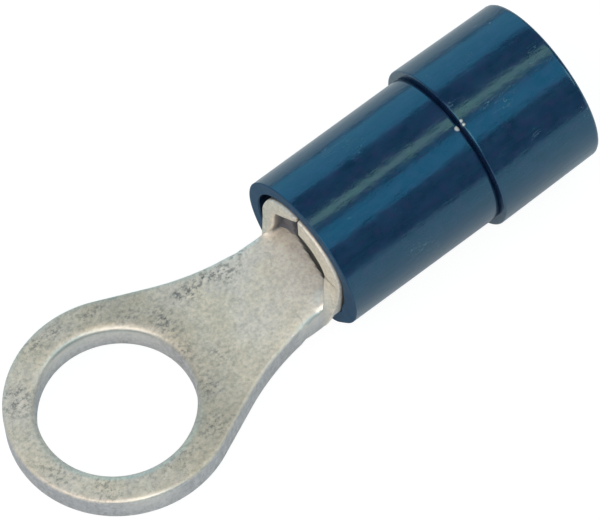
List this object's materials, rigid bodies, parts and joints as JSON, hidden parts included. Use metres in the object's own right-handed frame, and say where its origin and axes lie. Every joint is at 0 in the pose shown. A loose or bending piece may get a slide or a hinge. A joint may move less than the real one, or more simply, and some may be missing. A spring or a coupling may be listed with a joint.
{
  "type": "insulated ring terminal",
  "caption": "Ring terminal of tinned copper with a stepped blue insulating sleeve over its wire barrel",
  "frame": {"origin": "centre of the stud hole, in the plane of the tongue's underside", "axes": "+Z along the axis of the stud hole, the way the tongue's top faces; +X along the barrel, towards the wire entry"},
  "size_m": [0.018, 0.0064, 0.0051],
  "materials": {
    "tinned_copper": "matte tin plating, slightly stained",
    "blue_plastic": "glossy, slightly translucent"
  },
  "bodies": {
    "root": {"terminal": "tinned_copper", "insulating_sleeve": "blue_plastic"}
  },
  "joints": []
}
